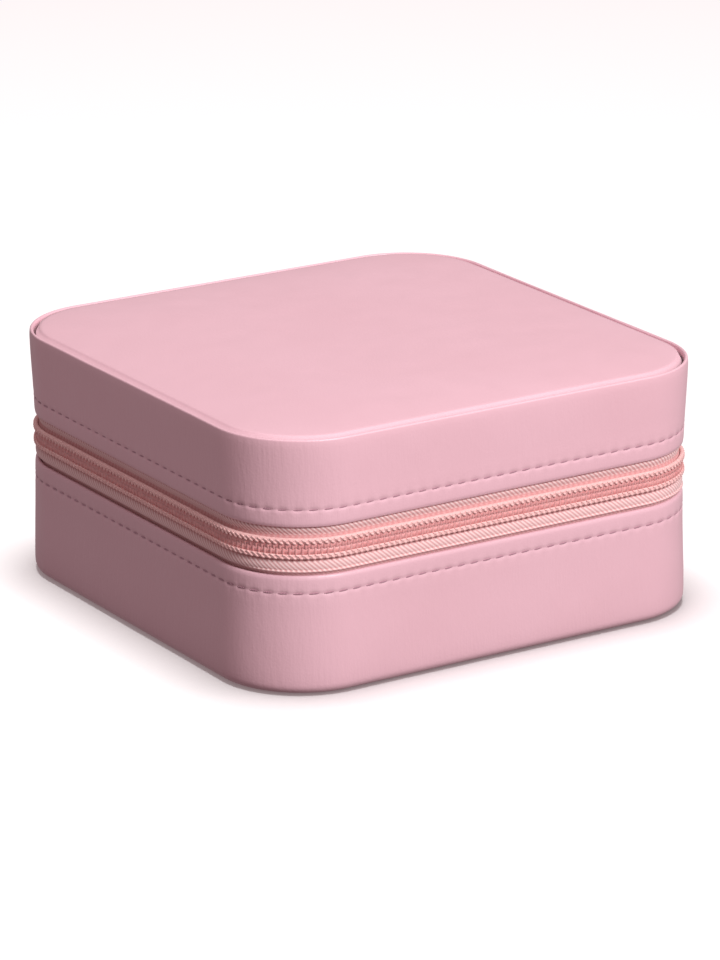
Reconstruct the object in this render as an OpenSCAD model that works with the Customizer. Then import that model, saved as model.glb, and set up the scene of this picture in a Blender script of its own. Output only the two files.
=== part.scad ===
// Zipped jewellery case: a square leather box in two halves on a leather hinge,
// closed by a coil zip round three sides. The base holds ring rolls and three
// compartments; the lid holds an elastic pocket and three snap straps.
// The front faces -Y, the hinge is at +Y, and the zip slider rests on the +X side.

/* [Case] */
// Outer width and depth of the square case
case_side = 100; // [96:1:110]
// Height of the closed case
case_h = 49; // [48:0.5:54]
// Outer radius of the upright corners
corner_r = 17; // [15:0.5:19]
// Height of the zip's centre line above the table
zip_z = 28.2; // [27.4:0.1:28.9]
// Bare zip showing between the two leather bands
zip_gap = 9.2; // [8.8:0.1:9.4]

/* [Walls] */
// Thickness of the leather
leather_t = 1; // [0.8:0.1:1]
// Thickness of the moulded shells
shell_t = 1.7; // [1.6:0.1:1.8]
// Thickness of the velvet lining
lining_t = 0.7; // [0.5:0.1:0.8]
// Outer radius of the bottom edge
foot_r = 2; // [1.8:0.1:2.2]

/* [Stitching] */
// Distance of each seam from the edge of its leather band
seam_set = 3.4; // [3:0.1:3.8]
// Thickness of the sewing thread
thread_d = 0.5; // [0.3:0.1:0.6]

/* [Base tray] */
// Left side of the tray that the ring rolls take, as a share of the width
ring_share = 0.44; // [0.42:0.01:0.46]
// Number of ring rolls
roll_count = 8; // [8]
// Height of the ring rolls above the table
roll_top = 20.6; // [18:0.2:21]
// Thickness of the fixed partition
partition_t = 3; // [2.6:0.1:3.4]
// Thickness of the two loose dividers
divider_t = 2.4; // [2:0.1:2.6]

/* [Lid fittings] */
// Width of the elastic pocket
pocket_w = 76; // [70:1:80]
// Depth of the elastic pocket from mouth to foot
pocket_l = 39; // [35:1:40]
// Spacing of the three snap straps
strap_pitch = 26; // [20:1:27]
// Width of a snap strap
strap_w = 9; // [7:0.5:10]
// Length of a snap strap
strap_l = 14.6; // [13:0.2:16]

/* [Zip] */
// Width of the coil chain
chain_w = 4.2; // [4:0.1:4.4]
// Length of the slider body
slider_l = 10.5; // [10:0.5:11]
// Height of the slider body
slider_w = 7.2; // [7:0.1:7.4]
// Length of the zip pull
pull_l = 22; // [18:1:24]

/* [Hidden] */
roll_names = [for (i = [1:roll_count]) str("ring_roll_", i)];
strap_names = [for (i = [1:3]) str("strap_", i)];
cap_names = [for (i = [1:3]) str("snap_cap_", i)];
stud_names = [for (i = [1:3]) str("snap_stud_", i)];
$fn = 48;

// Colours
leather_pink = [0.91, 0.74, 0.79];
seam_pink = [0.93, 0.78, 0.81];
tape_pink = [0.90, 0.74, 0.72];
coil_pink = [0.88, 0.60, 0.58];
velvet = [0.95, 0.88, 0.86];
board = [0.80, 0.76, 0.72];
foam = [0.94, 0.92, 0.86];
rose_gold = [0.90, 0.70, 0.60];

// Glue line between layers, and the gap round pieces that move
glue = 0.1;
play = 0.3;

// Names for the four sides and corners, counted anticlockwise from +X and (+X, +Y)
right = 0;
back = 1;
left = 2;
front = 3;
rear_right = 0;
rear_left = 1;
front_left = 2;
front_right = 3;

// Half the width, and the centre of each corner's arc
half = case_side / 2;
core = half - corner_r;
arc_steps = 12;

// How far in from the outer wall each layer starts
shell_in = leather_t + glue;
lining_in = shell_in + shell_t + glue;
room_in = lining_in + lining_t;
fit_in = room_in + glue;
room = half - room_in;

// Levels, from the table up
// The chain runs a little above the middle of the gap between the two leather edges
gap_drop = 0.6;
base_top = zip_z - zip_gap / 2 - gap_drop;
lid_bottom = zip_z + zip_gap / 2 - gap_drop;
lift = 0.05;
floor_z = leather_t + glue;
floor_t = 1.6;
pad_z = floor_z + floor_t + glue;
pad_t = 2;
tray_z = pad_z + pad_t + glue;
tray_t = 2.7;
rim_z = zip_z - 3.4;
partition_top = 22;
divider_top = 21;
top_panel_t = 0.9;
top_panel_z = case_h - 0.1 - top_panel_t;
foam_t = 1.9;
foam_z = top_panel_z - glue - foam_t;
lid_plate_t = 1.5;
lid_plate_z = foam_z - glue - lid_plate_t;
inner_t = 1.8;
inner_z = lid_plate_z - glue - inner_t;
top_in = leather_t + 0.25;

// Zip: how the tape runs in from the coil and up behind the leather
coil_gap = 0.3;
coil_out = 0.4;
coil_in = 0.6;
tape_t = 0.5;
tape_bend = chain_w / 2 + 0.2;
tape_tuck = tape_bend + 1.3;
tape_end = 9;
tape_in = leather_t + 0.2;
rebate_in = tape_in + tape_t + glue;
rebate_h = tape_end - 3.4 + 0.3;
tape_over = 2;
stop_l = 1.5;
stop_y = core - glue - stop_l;

// Slider, which rests on the right side just short of the top stops
slider_y = stop_y - slider_l / 2 - 0.2;
plate_in = half + 0.9;
plate_out = half + 2;
inner_plate_x = half - 3.1;
inner_plate_t = 0.8;
crown_x = plate_out + 1.9;
crown_t = 0.7;
crown_w = 1.8;
bar_x = plate_out + 0.95;
bar_r = 0.55;
pull_t = 1.2;
pull_w = 5.8;
eye_w = 2.6;
eye_l = 5;

// Hinge strip across the back
hinge_w = 61;
hinge_h = 20.4;
hinge_gap = 0.1;

// Tray
partition_x = -half + case_side * ring_share;
roll_pitch = 11.4;
roll_w = 10.6;
divider_y = room / 3;
slot_deep = 1.2;

// Lid fittings
pocket_y = 2;
pocket_drop = 6.2;
pocket_t = 0.8;
strap_y = -39.3;
strap_z = inner_z - 1.5;
strap_t = 1.1;
snap_y = strap_y + strap_l - 3.6;
snap_r = 3.2;

// Points of an arc, anticlockwise from angle a to angle b
function arc(centre, r, a, b, steps = 6) =
    [for (k = [0:steps]) centre + r * [cos(a + (b - a) * k / steps), sin(a + (b - a) * k / steps)]];

// Rounded rectangle about the origin
function rounded(w, d, r, steps = 6) =
    let (x = w / 2 - r, y = d / 2 - r)
    concat(arc([x, y], r, 0, 90, steps), arc([-x, y], r, 90, 180, steps),
        arc([-x, -y], r, 180, 270, steps), arc([x, -y], r, 270, 360, steps));

// The case's plan, moved in from the outer wall
function plan(inset) =
    rounded(case_side - 2 * inset, case_side - 2 * inset, corner_r - inset, arc_steps);

// Solid of the case's plan between two levels
module block(inset, z0, z1) {
    translate([0, 0, z0]) linear_extrude(z1 - z0) polygon(plan(inset));
}

// Wall of the case's plan between two insets and two levels
module wall(outer, inner, z0, z1) {
    difference() {
        block(outer, z0, z1);
        block(inner, z0 - 1, z1 + 1);
    }
}

// A profile carried straight along one side; its x runs out from the corner's centre
module along(side, from = -core, to = core) {
    rotate(90 * side) translate([core, to, 0]) rotate([90, 0, 0]) linear_extrude(to - from) children();
}

// A profile carried round one corner
module round_corner(corner) {
    rotate(90 * corner) translate([core, core, 0]) rotate_extrude(angle = 90) children();
}

// A profile carried all the way round
module all_round() {
    for (n = [0:3]) {
        along(n) children();
        round_corner(n) children();
    }
}

// A profile carried round the front, both sides and all four corners
module three_sides() {
    for (n = [right, left, front]) along(n) children();
    for (n = [0:3]) round_corner(n) children();
}

// ---- base ----

module base_shell() {
    color(board) difference() {
        union() {
            block(foot_r + glue, floor_z, foot_r);
            block(shell_in, foot_r, rim_z);
        }
        block(lining_in - glue, floor_z + floor_t, rim_z + 1);
        wall(shell_in - 1, rebate_in, rim_z - rebate_h, rim_z + 1);
    }
}

module base_leather_band() {
    edge_r = 0.7;
    flange = 6;
    color(leather_pink) all_round() polygon(concat(
        [[corner_r - flange, lift]],
        arc([corner_r - foot_r, foot_r + lift], foot_r, 270, 360),
        arc([corner_r - edge_r, base_top - edge_r], edge_r, 0, 90),
        [[corner_r - leather_t, base_top]],
        arc([corner_r - foot_r, foot_r + lift], foot_r - leather_t, 360, 270),
        [[corner_r - flange, leather_t + lift]]
    ));
}

module base_bottom_panel() {
    panel_in = 6.2;
    color(leather_pink) block(panel_in, 0, leather_t);
}

module base_lining() {
    color(velvet) wall(lining_in, room_in, pad_z, rim_z + 0.2);
}

module base_floor_pad() {
    color(velvet) block(fit_in, pad_z, pad_z + pad_t);
}

module partition() {
    top_r = partition_t / 2;
    reach = room - glue;
    color(velvet) difference() {
        translate([partition_x, reach, 0]) rotate([90, 0, 0]) linear_extrude(2 * reach) polygon(concat(
            [[-top_r, tray_z], [top_r, tray_z]],
            arc([0, partition_top - top_r], top_r, 0, 180)
        ));
        for (y = [-divider_y, divider_y])
            translate([partition_x + top_r - slot_deep, y - divider_t / 2 - play, tray_z - 1])
                cube([slot_deep + 1, divider_t + 2 * play, partition_top]);
    }
}

module left_half(z0, z1) {
    wide = partition_x - partition_t / 2 - glue + half;
    intersection() {
        block(fit_in, z0, z1);
        translate([-half, -half, z0 - 1]) cube([wide, case_side, z1 - z0 + 2]);
    }
}

module ring_tray() {
    color(velvet) left_half(tray_z, tray_z + tray_t);
}

module ring_roll(i) {
    roll_r = roll_w / 2;
    y = (i - (roll_count + 1) / 2) * roll_pitch;
    low = tray_z + tray_t + glue;
    color(velvet) intersection() {
        left_half(low - 1, roll_top + 1);
        translate([-half, y, 0]) rotate([90, 0, 90]) linear_extrude(half) polygon(concat(
            [[-roll_r, low], [roll_r, low]],
            arc([0, roll_top - roll_r], roll_r, 0, 180, 10)
        ));
    }
}

module divider(y) {
    low = pad_z + pad_t + play;
    top_r = divider_t / 2;
    start = partition_x + partition_t / 2 - slot_deep + play;
    color(velvet) translate([start, y, 0]) rotate([90, 0, 90]) linear_extrude(room - play - start) polygon(concat(
        [[-top_r, low], [top_r, low]],
        arc([0, divider_top - top_r], top_r, 0, 180)
    ));
}

module divider_front() divider(-divider_y);
module divider_rear() divider(divider_y);

// ---- zip ----

// Everything of the zip is drawn for the upper half and mirrored for the lower one
module zip_half(up) {
    translate([0, 0, zip_z]) mirror([0, 0, up ? 0 : 1]) children();
}

module tape_profile() {
    polygon([
        [corner_r - coil_in, coil_gap], [corner_r - coil_in, tape_bend],
        [corner_r - tape_in, tape_tuck], [corner_r - tape_in, tape_end],
        [corner_r - tape_in - tape_t, tape_end], [corner_r - tape_in - tape_t, tape_tuck],
        [corner_r - coil_in - tape_t, tape_bend], [corner_r - coil_in - tape_t, coil_gap]
    ]);
}

module zip_tape(up) {
    color(tape_pink) zip_half(up) {
        three_sides() tape_profile();
        along(back, core - tape_over, core) tape_profile();
        along(back, -core, tape_over - core) tape_profile();
    }
}

module coil_profile() {
    bevel = 0.3;
    outer = corner_r + coil_out;
    inner = corner_r - coil_in;
    polygon([
        [inner, coil_gap], [outer - bevel, coil_gap], [outer, coil_gap + bevel],
        [outer, chain_w / 2 - bevel], [outer - bevel, chain_w / 2], [inner, chain_w / 2]
    ]);
}

module zip_coil(up) {
    color(coil_pink) zip_half(up) {
        along(right, -core, stop_y - glue) coil_profile();
        for (side = [left, front]) along(side) coil_profile();
        for (corner = [rear_left, front_left, front_right]) round_corner(corner) coil_profile();
    }
}

module zip_top_stop(up) {
    stop_h = 1.9;
    color(rose_gold) zip_half(up)
        translate([half - coil_in, stop_y, coil_gap]) cube([1.2, stop_l, stop_h]);
}

module zip_bottom_stop() {
    stop_h = 1.9;
    color(rose_gold) zip_half(false)
        translate([glue - core, half - coil_in, coil_gap]) cube([stop_l, 1.2, stop_h]);
}

module slider_body() {
    tail_w = slider_w - 1.4;
    wide = slider_w / 2;
    nose_r = 2.4;
    tail_r = 1.8;
    reach = slider_l / 2;
    web_t = 0.2;
    post_l = 1.1;
    crown_l = 7.2;
    color(rose_gold) translate([0, slider_y, zip_z]) {
        // Outer plate, wider at the end where the two halves of the chain part
        translate([plate_in, 0, 0]) rotate([90, 0, 90]) linear_extrude(plate_out - plate_in) polygon(concat(
            arc([reach - nose_r, wide - nose_r], nose_r, 0, 90),
            arc([tail_r - reach, tail_w / 2 - tail_r], tail_r, 90, 180),
            arc([tail_r - reach, tail_r - tail_w / 2], tail_r, 180, 270),
            arc([reach - nose_r, nose_r - wide], nose_r, 270, 360)
        ));
        // Inner plate behind the chain
        translate([inner_plate_x, 0, 0]) rotate([90, 0, 90]) linear_extrude(inner_plate_t)
            polygon(rounded(slider_l - 1, slider_w - 1.6, 1.6));
        // Thin web between the halves of the chain, which joins the plates
        translate([inner_plate_x, 1.5, -web_t / 2]) cube([plate_out - 0.5 - inner_plate_x, 3, web_t]);
        // Flanges, the lower one round the chain and the upper one cut short
        translate([plate_in - 1.2, -reach + 2.4, -wide + 0.6]) cube([1.4, slider_l - 5, 0.8]);
        translate([plate_in - 0.2, -reach + 2.4, wide - 1.4]) cube([0.4, slider_l - 5, 0.8]);
        // Crown over the pull's bar
        for (y = [-crown_l / 2, crown_l / 2 - post_l])
            translate([plate_out - 0.2, y, -crown_w / 2]) cube([crown_x - plate_out + 0.4, post_l, crown_w]);
        translate([crown_x, -crown_l / 2, -crown_w / 2]) cube([crown_t, crown_l, crown_w]);
    }
}

module slider_pull() {
    tip_w = 7;
    tip_r = 3.2;
    neck_r = 1.2;
    color(rose_gold) translate([bar_x, slider_y, zip_z]) {
        difference() {
            translate([-pull_t / 2, 0, 0]) rotate([90, 0, 90]) linear_extrude(pull_t) polygon(concat(
                arc([bar_r - neck_r, pull_w / 2 - neck_r], neck_r, 0, 90),
                arc([tip_r - pull_l, tip_w / 2 - tip_r], tip_r, 90, 180),
                arc([tip_r - pull_l, tip_r - tip_w / 2], tip_r, 180, 270),
                arc([bar_r - neck_r, neck_r - pull_w / 2], neck_r, 270, 360)
            ));
            translate([-pull_t, -eye_l, -eye_w / 2]) cube([2 * pull_t, eye_l + 2, eye_w]);
        }
        translate([0, 0, -eye_w / 2 - 0.4]) cylinder(r = bar_r, h = eye_w + 0.8);
    }
}

// ---- stitching and hinge ----

module seam_profile(z) {
    translate([corner_r + lift, z - thread_d / 2]) square([thread_d / 2, thread_d]);
}

module base_seam_thread() {
    color(seam_pink) three_sides() seam_profile(base_top - seam_set);
}

module lid_seam_thread() {
    color(seam_pink) three_sides() seam_profile(lid_bottom + seam_set);
}

module hinge_leather() {
    strip_r = 3;
    color(leather_pink) translate([0, half + hinge_gap + leather_t, zip_z]) rotate([90, 0, 0])
        linear_extrude(leather_t) polygon(rounded(hinge_w, hinge_h, strip_r));
}

module hinge_lining() {
    strip_t = 0.5;
    strip_w = hinge_w - 1;
    color(velvet) translate([-strip_w / 2, room - glue - strip_t, partition_top + 0.4])
        cube([strip_w, strip_t, 2 * (zip_z - partition_top - 0.4)]);
}

module hinge_thread(z) {
    inset = 2;
    color(seam_pink) translate([inset - hinge_w / 2, half + hinge_gap + leather_t + lift, z - thread_d / 2])
        cube([hinge_w - 2 * inset, thread_d / 2, thread_d]);
}

module hinge_thread_lower() hinge_thread(base_top - seam_set);
module hinge_thread_upper() hinge_thread(lid_bottom + seam_set);

// ---- lid ----

module lid_shell() {
    rim = 2 * zip_z - rim_z;
    color(board) difference() {
        block(shell_in, rim, lid_plate_z + lid_plate_t);
        block(lining_in - glue, rim - 1, lid_plate_z);
        wall(shell_in - 1, rebate_in, rim - 1, rim + rebate_h);
    }
}

module lid_leather_band() {
    edge_r = 0.7;
    rim_r = leather_t / 2;
    color(leather_pink) all_round() polygon(concat(
        [[corner_r - leather_t, lid_bottom]],
        arc([corner_r - edge_r, lid_bottom + edge_r], edge_r, 270, 360),
        arc([corner_r - rim_r, case_h - rim_r], rim_r, 0, 180)
    ));
}

module top_foam() {
    color(foam) block(top_in, foam_z, foam_z + foam_t);
}

module top_leather_panel() {
    color(leather_pink) block(top_in, top_panel_z, top_panel_z + top_panel_t);
}

module lid_lining() {
    rim = 2 * zip_z - rim_z - 0.2;
    color(velvet) wall(lining_in, room_in, rim, lid_plate_z - glue);
}

module lid_inner_panel() {
    color(velvet) block(fit_in, inner_z, inner_z + inner_t);
}

module pocket() {
    low = inner_z - glue - pocket_drop;
    inner_w = pocket_w - 2 * pocket_t;
    color(velvet) difference() {
        translate([-pocket_w / 2, pocket_y, low]) cube([pocket_w, pocket_l, pocket_drop]);
        translate([-inner_w / 2, pocket_y - 1, low + pocket_t])
            cube([inner_w, pocket_l + 1 - pocket_t, pocket_drop]);
    }
}

module pocket_elastic() {
    hem_l = 1.6;
    hem_t = 1.3;
    low = inner_z - glue - pocket_drop - 0.2;
    color(velvet) translate([0, pocket_y - glue, low + hem_t / 2]) rotate([90, 0, 0])
        linear_extrude(hem_l) polygon(rounded(pocket_w, hem_t, 0.5));
}

module strap_rail() {
    rail_w = 2 * strap_pitch + strap_w + 8;
    rail_l = 3.4;
    rail_t = 1.3;
    color(leather_pink) translate([0, strap_y - play - rail_l / 2, inner_z - glue - rail_t])
        linear_extrude(rail_t) polygon(rounded(rail_w, rail_l, 1.2));
}

module snap_strap(i) {
    heel = 0.1;
    tip_r = strap_w / 2 - 0.2;
    color(leather_pink) translate([(i - 2) * strap_pitch, strap_y, strap_z]) linear_extrude(strap_t)
        polygon(concat(
            [[-strap_w / 2, heel], [strap_w / 2, heel]],
            arc([strap_w / 2 - tip_r, strap_l - tip_r], tip_r, 0, 90),
            arc([tip_r - strap_w / 2, strap_l - tip_r], tip_r, 90, 180)
        ));
}

module snap_cap(i) {
    cap_t = 1.2;
    color(rose_gold) translate([(i - 2) * strap_pitch, snap_y, strap_z - cap_t]) cylinder(r = snap_r, h = cap_t);
}

module snap_stud(i) {
    stud_z = strap_z + strap_t + 0.2;
    color(rose_gold) translate([(i - 2) * strap_pitch, snap_y, stud_z])
        cylinder(r = snap_r - 0.6, h = inner_z - stud_z);
}

// ---- what is shown ----

base_shell();
base_leather_band();
base_bottom_panel();
base_lining();
base_floor_pad();
partition();
ring_tray();
zip_tape(false);  // zip_tape_lower
zip_coil(false);  // zip_coil_lower
zip_top_stop(false);  // zip_top_stop_lower
zip_bottom_stop();
base_seam_thread();
hinge_leather();
hinge_lining();
hinge_thread_lower();
lid_shell();
lid_leather_band();
top_foam();
top_leather_panel();
lid_lining();
lid_inner_panel();
pocket();
pocket_elastic();
strap_rail();
zip_tape(true);  // zip_tape_upper
zip_coil(true);  // zip_coil_upper
zip_top_stop(true);  // zip_top_stop_upper
lid_seam_thread();
hinge_thread_upper();
slider_body();
slider_pull();
divider_front();
divider_rear();
for (i = [1:roll_count]) ring_roll(i);
for (i = [1:3]) snap_strap(i);
for (i = [1:3]) snap_cap(i);
for (i = [1:3]) snap_stud(i);
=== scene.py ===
import math

import bmesh
import bpy
from mathutils import Matrix, Vector, noise


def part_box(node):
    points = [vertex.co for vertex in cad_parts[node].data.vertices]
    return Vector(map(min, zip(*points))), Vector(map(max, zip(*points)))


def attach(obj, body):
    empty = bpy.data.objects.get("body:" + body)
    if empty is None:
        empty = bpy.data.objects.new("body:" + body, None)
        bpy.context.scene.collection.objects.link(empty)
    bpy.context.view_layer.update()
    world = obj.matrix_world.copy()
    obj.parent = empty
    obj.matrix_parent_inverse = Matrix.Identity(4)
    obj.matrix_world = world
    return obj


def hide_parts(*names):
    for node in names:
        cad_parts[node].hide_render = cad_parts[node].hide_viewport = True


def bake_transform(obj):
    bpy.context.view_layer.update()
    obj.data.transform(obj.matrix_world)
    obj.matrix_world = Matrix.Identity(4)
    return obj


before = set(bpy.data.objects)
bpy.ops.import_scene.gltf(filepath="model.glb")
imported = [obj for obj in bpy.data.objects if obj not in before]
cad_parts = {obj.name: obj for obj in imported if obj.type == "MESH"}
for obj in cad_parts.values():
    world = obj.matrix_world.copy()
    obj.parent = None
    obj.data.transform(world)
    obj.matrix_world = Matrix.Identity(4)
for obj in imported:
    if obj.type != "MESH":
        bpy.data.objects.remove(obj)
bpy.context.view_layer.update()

scene = bpy.context.scene
mm = 0.001

# ---- Camera ----
# A long lens from the front left, a little above the lid.
camera = bpy.data.objects.new("camera", bpy.data.cameras.new("camera"))
camera.data.lens = 178.99
camera.data.clip_end = 20
scene.collection.objects.link(camera)
scene.camera = camera
view_azimuth = math.radians(-32.397)
view_elevation = math.radians(18.222)
view_distance = 0.9142
view_roll = math.radians(-0.164)
view_target = Vector((-0.004274, -0.008285, 0.023831))
toward_camera = Vector((
    math.sin(view_azimuth) * math.cos(view_elevation),
    -math.cos(view_azimuth) * math.cos(view_elevation),
    math.sin(view_elevation),
))
camera.location = view_target + view_distance * toward_camera
camera.rotation_euler = (
    toward_camera.to_track_quat("Z", "Y").to_matrix() @ Matrix.Rotation(view_roll, 3, "Z")
).to_euler()

# ---- Base shell ----
# The tray that everything in the base is glued to, moulded in plain grey-beige plastic.
# It is covered all over, so only its matt finish matters.
def new_material(name, colour, roughness, **finish):
    """A material with one Principled shader; returns the material, its tree and the shader."""
    material = bpy.data.materials.new(name)
    material.use_nodes = True
    shader = material.node_tree.nodes["Principled BSDF"]
    shader.inputs["Base Color"].default_value = (*colour, 1)
    shader.inputs["Roughness"].default_value = roughness
    for socket, value in finish.items():
        shader.inputs[socket.replace("_", " ")].default_value = value
    return material, material.node_tree, shader


def texture(tree, kind, scale, stretch=(1, 1, 1), **settings):
    """A texture on Object coordinates, stretched along the axes."""
    place = tree.nodes.new("ShaderNodeTexCoord")
    mapping = tree.nodes.new("ShaderNodeMapping")
    mapping.inputs["Scale"].default_value = stretch
    tree.links.new(place.outputs["Object"], mapping.inputs["Vector"])
    node = tree.nodes.new(kind)
    tree.links.new(mapping.outputs["Vector"], node.inputs["Vector"])
    node.inputs["Scale"].default_value = scale
    for key, value in settings.items():
        node.inputs[key.replace("_", " ")].default_value = value
    return node


def add_bump(tree, shader, height, distance, strength=1.0):
    """Adds one bump on top of those that the shader already has."""
    bump = tree.nodes.new("ShaderNodeBump")
    bump.inputs["Distance"].default_value = distance
    bump.inputs["Strength"].default_value = strength
    tree.links.new(height, bump.inputs["Height"])
    before = shader.inputs["Normal"].links
    if before:
        tree.links.new(before[0].from_socket, bump.inputs["Normal"])
    tree.links.new(bump.outputs["Normal"], shader.inputs["Normal"])


def tint(tree, shader, factor, low, high, socket="Base Color"):
    """Runs a socket between two values or colours as factor goes from 0.3 to 0.7."""
    ramp = tree.nodes.new("ShaderNodeValToRGB")
    ramp.color_ramp.elements[0].position = 0.3
    ramp.color_ramp.elements[1].position = 0.7
    for element, value in zip(ramp.color_ramp.elements, (low, high)):
        element.color = (*value, 1) if isinstance(value, tuple) else (value, value, value, 1)
    tree.links.new(factor, ramp.inputs["Fac"])
    tree.links.new(ramp.outputs["Color"], shader.inputs[socket])


shell_finish, tree, shader = new_material("moulded_shell", (0.56, 0.50, 0.46), 0.6)
grain = texture(tree, "ShaderNodeTexNoise", 900, Detail=3)
tint(tree, shader, grain.outputs["Fac"], (0.53, 0.47, 0.43), (0.59, 0.53, 0.49))
add_bump(tree, shader, grain.outputs["Fac"], 0.02 * mm)
for node in ("base_shell", "lid_shell"):
    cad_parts[node].data.materials.clear()
    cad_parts[node].data.materials.append(shell_finish)

# ---- Base leather band ----
# One strip of smooth pink leather wrapped round the base and closed at the back. Its top
# edge is turned in beside the zip, and its foot is turned under over a rounded edge.
band_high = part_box("base_leather_band")[1]
half = band_high.x
base_top = band_high.z
corner_r = 17 * mm
core = half - corner_r
corner_run = corner_r * math.pi / 2
side_run = 2 * core
seam_run = 4 * corner_run + 3 * side_run
corner_centres = ((core, core), (core, -core), (-core, -core), (-core, core))


def new_points(made):
    return [g for g in made if isinstance(g, bmesh.types.BMVert)]


def stamp(bm, pattern, place):
    """Adds a copy of a small mesh at a place."""
    copy = pattern.copy()
    copy.transform(place)
    bm.from_mesh(copy)
    bpy.data.meshes.remove(copy)


def kept_mesh(name, bm):
    mesh = bpy.data.meshes.new(name)
    bm.to_mesh(mesh)
    return mesh


def carry_round(bm, profile, closed=True, sides=4, step=0.6 * mm, lead=0.0):
    """Carries a profile of (outward, height) points clockwise round the case from the back's right end.

    One corner and one side are made, and the rest are copies of them. Three sides stop at the
    back's left end; lead runs both ends on along the back."""
    quarter = bmesh.new()
    line = [quarter.verts.new((core, half + out, z)) for out, z in profile]
    edges = [quarter.edges.new(pair) for pair in zip(line, line[1:])]
    if closed:
        edges.append(quarter.edges.new((line[-1], line[0])))
    made = bmesh.ops.spin(
        quarter, geom=line + edges, cent=(core, core, 0), axis=(0, 0, -1), dvec=(0, 0, 0),
        angle=math.pi / 2, steps=round(corner_run / step), use_merge=False, use_duplicate=False,
    )["geom_last"]
    corner = kept_mesh("corner", quarter)
    last = [g for g in made if isinstance(g, bmesh.types.BMEdge)]
    made = bmesh.ops.extrude_edge_only(quarter, edges=last)["geom"]
    bmesh.ops.translate(quarter, verts=new_points(made), vec=(0, -side_run, 0))
    long_edges = [e for e in quarter.edges if e.calc_length() > 0.99 * side_run]
    cuts = round(side_run / step) - 1
    bmesh.ops.subdivide_edges(quarter, edges=long_edges, cuts=cuts, use_grid_fill=True)
    corner_and_side = kept_mesh("corner_and_side", quarter)
    quarter.free()
    for n in range(4):
        turn = Matrix.Rotation(-math.pi / 2 * n, 4, "Z")
        stamp(bm, corner_and_side if n < sides else corner, turn)
    bmesh.ops.remove_doubles(bm, verts=bm.verts, dist=0.001 * mm)
    if lead:
        ends = [e for e in bm.edges if e.is_boundary]
        for v in new_points(bmesh.ops.extrude_edge_only(bm, edges=ends)["geom"]):
            v.co.x -= math.copysign(lead, v.co.x)
    if closed and sides < 4:
        bmesh.ops.holes_fill(bm, edges=[e for e in bm.edges if e.is_boundary], sides=0)
    bmesh.ops.recalc_face_normals(bm, faces=bm.faces)


def round_of(x, y):
    """How far round the case a point is, its height off the outer wall, and the way out."""
    dx = x - max(-core, min(core, x))
    dy = y - max(-core, min(core, y))
    reach = math.hypot(dx, dy)
    if reach < 1e-7:
        return 0.0, -corner_r, Vector((0, 0, 0))
    out = Vector((dx, dy, 0)) / reach
    turn = math.atan2(dx, dy) % math.tau
    if abs(dx) > 1e-7 and abs(dy) > 1e-7:
        corner = int(turn // (math.pi / 2))
        run = corner * side_run + turn * corner_r
    else:
        side = round(turn / (math.pi / 2)) % 4
        along = (core + x, core - y, core - x, core + y)[side]
        run = side * (corner_run + side_run) - side_run + along
    return run, reach - corner_r, out


def place_on_case(run, out, z):
    """A frame at that place round the case: x runs clockwise, y points out and z up."""
    span = corner_run + side_run
    corner, rest = divmod(run, span)
    corner = int(min(max(corner, 0), 3))
    rest = run - corner * span
    turn = corner * math.pi / 2 + min(max(rest, 0), corner_run) / corner_r
    away = Vector((math.sin(turn), math.cos(turn), 0))
    forward = Vector((math.cos(turn), -math.sin(turn), 0))
    spot = Vector((*corner_centres[corner], z)) + away * (corner_r + out)
    spot += forward * (max(rest - corner_run, 0) + min(rest, 0))
    return Matrix((
        (forward.x, away.x, 0, spot.x),
        (forward.y, away.y, 0, spot.y),
        (0, 0, 1, spot.z),
        (0, 0, 0, 1),
    ))


def finish_piece(name, bm, body, slot, material, *nodes):
    """Makes the object, puts it on its body and has it stand for its CAD nodes."""
    mesh = bpy.data.meshes.new(name)
    for face in bm.faces:
        face.smooth = True
    bm.to_mesh(mesh)
    bm.free()
    mesh.materials.append(material)
    piece = bpy.data.objects.new(name, mesh)
    scene.collection.objects.link(piece)
    if body:
        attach(piece, body)
    if nodes:
        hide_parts(*nodes)
    return piece


def pink_leather(name, streaks, depth=1.0):
    """Smooth coated leather with a very fine pebble grain.

    streaks is the depth of its upright creases; depth scales the colour, and a depth under 1 darkens it as
    painted shade."""
    material, tree, shader = new_material(
        name, (0.765, 0.455, 0.52), 0.42,
        Specular_IOR_Level=0.5, Coat_Weight=0.12, Coat_Roughness=0.28, Sheen_Weight=0.08,
    )
    cloud = texture(tree, "ShaderNodeTexNoise", 35, Detail=4)
    pale, full = (0.755, 0.448, 0.510), (0.775, 0.468, 0.534)
    tint(tree, shader, cloud.outputs["Fac"], tuple(depth * c for c in pale), tuple(depth * c for c in full))
    wear = texture(tree, "ShaderNodeTexNoise", 160, Detail=5)
    tint(tree, shader, wear.outputs["Fac"], 0.37, 0.47, "Roughness")
    add_bump(tree, shader, cloud.outputs["Fac"], 0.10 * mm, 0.6)
    if streaks:
        creases = texture(tree, "ShaderNodeTexNoise", 1500, stretch=(1, 1, 0.16), Detail=3)
        add_bump(tree, shader, creases.outputs["Fac"], streaks)
    pebble = texture(tree, "ShaderNodeTexVoronoi", 2100)
    add_bump(tree, shader, pebble.outputs["Distance"], 0.012 * mm)
    return material


# The base band's leather is darker than the lid band's by depth 0.955. This is painted shade for the
# smaller amount of light that reaches the lower band.
band_leather = pink_leather("leather_base_band_painted_shade", 0.05 * mm, 0.955)
stitch_pitch = 2.85 * mm
seam_set = 3.4 * mm
seam_groove = 0.17 * mm


def ease(t):
    t = max(0.0, min(1.0, t))
    return t * t * (3 - 2 * t)


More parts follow.
